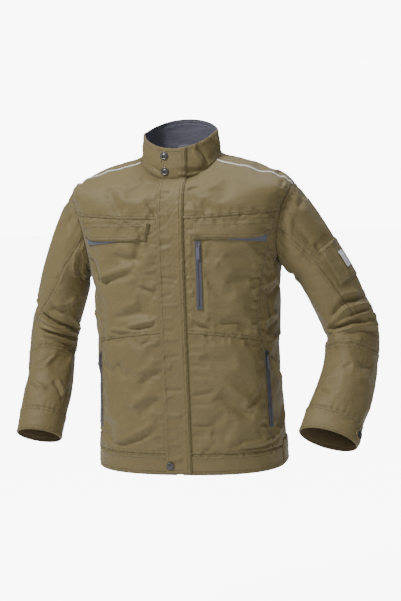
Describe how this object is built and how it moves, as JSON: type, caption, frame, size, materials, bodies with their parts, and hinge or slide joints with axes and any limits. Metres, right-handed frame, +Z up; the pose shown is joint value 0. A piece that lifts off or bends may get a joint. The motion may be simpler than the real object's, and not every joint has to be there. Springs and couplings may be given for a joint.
{
  "type": "work jacket",
  "caption": "Long-sleeved cloth work jacket with stand collar, storm flap over a front zip, flapped chest pockets, zipped chest and side pockets, and cuff tabs.",
  "frame": {"origin": "middle of the hanger loop inside the back of the neck, where a hook bears", "axes": "+Z up, the front of the jacket faces -Y, the wearer's left is +X"},
  "size_m": [0.7812, 0.2826, 0.7485],
  "materials": {
    "khaki_twill": "matt olive-khaki cotton twill",
    "slate_cloth": "matt slate-grey cloth",
    "reflective_piping": "pale grey reflective piping",
    "zip_tape": "woven zip tape with moulded teeth",
    "zip_pull": "moulded dark grey pull",
    "dark_metal": "dark nickel plate",
    "pale_label": "pale woven badge with no lettering"
  },
  "bodies": {
    "root": {"back_panel": "khaki_twill", "back_yoke": "khaki_twill", "chest_zip_tape": "zip_tape", "collar_lining": "slate_cloth", "collar_outer": "khaki_twill", "flap_accent_left": "slate_cloth", "flap_accent_right": "slate_cloth", "front_chest_left": "khaki_twill", "front_chest_right": "khaki_twill", "front_lower_left": "khaki_twill", "front_lower_right": "khaki_twill", "front_yoke_left": "khaki_twill", "front_yoke_right": "khaki_twill", "front_zip_left": "zip_tape", "front_zip_right": "zip_tape", "hanger_loop": "slate_cloth", "hem_band_back": "khaki_twill", "hem_band_left": "khaki_twill", "hem_band_right": "khaki_twill", "hem_tab_left": "khaki_twill", "hem_tab_right": "khaki_twill", "piping_left": "reflective_piping", "piping_right": "reflective_piping", "pocket_bag_left": "slate_cloth", "pocket_bag_right": "slate_cloth", "side_left_zip_tape": "zip_tape", "side_panel_left": "khaki_twill", "side_panel_right": "khaki_twill", "side_right_zip_tape": "zip_tape", "snap_collar_low": "dark_metal", "snap_collar_top": "dark_metal", "snap_hem": "dark_metal", "storm_flap": "khaki_twill"},
    "sleeve_left": {"upper_sleeve_left": "khaki_twill", "under_sleeve_left": "khaki_twill", "elbow_left": "khaki_twill", "sleeve_pocket": "khaki_twill", "sleeve_label": "pale_label"},
    "forearm_left": {"forearm_left": "khaki_twill", "cuff_left": "khaki_twill"},
    "cuff_tab_left": {"cuff_tab_left": "khaki_twill", "snap_cuff_left": "dark_metal"},
    "sleeve_right": {"upper_sleeve_right": "khaki_twill", "under_sleeve_right": "khaki_twill", "elbow_right": "khaki_twill"},
    "forearm_right": {"forearm_right": "khaki_twill", "cuff_right": "khaki_twill"},
    "cuff_tab_right": {"cuff_tab_right": "khaki_twill", "snap_cuff_right": "dark_metal"},
    "flap_left": {"chest_flap_left": "khaki_twill"},
    "flap_right": {"chest_flap_right": "khaki_twill"},
    "front_slider": {"front_zip_slider": "dark_metal"},
    "front_pull": {"front_zip_pull": "zip_pull"},
    "chest_slider": {"chest_zip_slider": "dark_metal"},
    "chest_pull": {"chest_zip_pull": "zip_pull"},
    "side_left_slider": {"side_left_zip_slider": "dark_metal"},
    "side_left_pull": {"side_left_zip_pull": "zip_pull"},
    "side_right_slider": {"side_right_zip_slider": "dark_metal"},
    "side_right_pull": {"side_right_zip_pull": "zip_pull"}
  },
  "joints": [
    {"name": "shoulder_lift_left", "type": "hinge", "parent": "root", "child": "sleeve_left", "pos_m": [0.23975, -0.05084, -0.0859], "axis": [0, -1, 0], "range_deg": [0, 35]},
    {"name": "elbow_bend_left", "type": "hinge", "parent": "sleeve_left", "child": "forearm_left", "pos_m": [0.34149, -0.05799, -0.41153], "axis": [-0.7662, 0.5756, -0.2856], "range_deg": [0, 40], "deforming": ["elbow_left"]},
    {"name": "cuff_tab_open_left", "type": "hinge", "parent": "forearm_left", "child": "cuff_tab_left", "pos_m": [0.34214, -0.12774, -0.63246], "axis": [0.1362, 0.6751, 0.725], "range_deg": [0, 100]},
    {"name": "shoulder_lift_right", "type": "hinge", "parent": "root", "child": "sleeve_right", "pos_m": [-0.23975, -0.05084, -0.0859], "axis": [0, 1, 0], "range_deg": [0, 35]},
    {"name": "elbow_bend_right", "type": "hinge", "parent": "sleeve_right", "child": "forearm_right", "pos_m": [-0.30344, -0.05858, -0.41284], "axis": [-0.8516, -0.4693, 0.2336], "range_deg": [0, 40], "deforming": ["elbow_right"]},
    {"name": "cuff_tab_open_right", "type": "hinge", "parent": "forearm_right", "child": "cuff_tab_right", "pos_m": [-0.27805, -0.12016, -0.6159], "axis": [-0.0859, -0.546, -0.8334], "range_deg": [0, 100]},
    {"name": "chest_flap_lift_left", "type": "hinge", "parent": "root", "child": "flap_left", "pos_m": [0.13279, -0.1728, -0.157], "axis": [-0.9582, -0.2862, 0], "range_deg": [0, 100]},
    {"name": "chest_flap_lift_right", "type": "hinge", "parent": "root", "child": "flap_right", "pos_m": [-0.13279, -0.1728, -0.157], "axis": [-0.9582, 0.2862, 0], "range_deg": [0, 100]},
    {"name": "front_zip_slide", "type": "slide", "parent": "root", "child": "front_slider", "axis": [0, -0.109, -0.994], "range_m": [0, 0.024]},
    {"name": "front_zip_pull_swing", "type": "hinge", "parent": "front_slider", "child": "front_pull", "pos_m": [0, -0.11999, -0.01391], "axis": [-1, 0, 0], "range_deg": [0, 6]},
    {"name": "chest_zip_slide", "type": "slide", "parent": "root", "child": "chest_slider", "axis": [-0.0032, -0.0222, -0.9997], "range_m": [0, 0.121]},
    {"name": "chest_zip_pull_swing", "type": "hinge", "parent": "chest_slider", "child": "chest_pull", "pos_m": [0.05692, -0.18631, -0.20283], "axis": [-0.9963, -0.0862, 0.0051], "range_deg": [0, 110]},
    {"name": "side_left_zip_slide", "type": "slide", "parent": "root", "child": "side_left_slider", "axis": [0.0315, 0.0106, -0.9994], "range_m": [0, 0.141]},
    {"name": "side_left_zip_pull_swing", "type": "hinge", "parent": "side_left_slider", "child": "side_left_pull", "pos_m": [0.18574, -0.12085, -0.44384], "axis": [-0.4821, -0.8758, -0.0245], "range_deg": [0, 110]},
    {"name": "side_right_zip_slide", "type": "slide", "parent": "root", "child": "side_right_slider", "axis": [-0.0315, 0.0106, -0.9994], "range_m": [0, 0.141]},
    {"name": "side_right_zip_pull_swing", "type": "hinge", "parent": "side_right_slider", "child": "side_right_pull", "pos_m": [-0.18574, -0.12085, -0.44384], "axis": [-0.4821, 0.8758, 0.0245], "range_deg": [0, 110]}
  ]
}
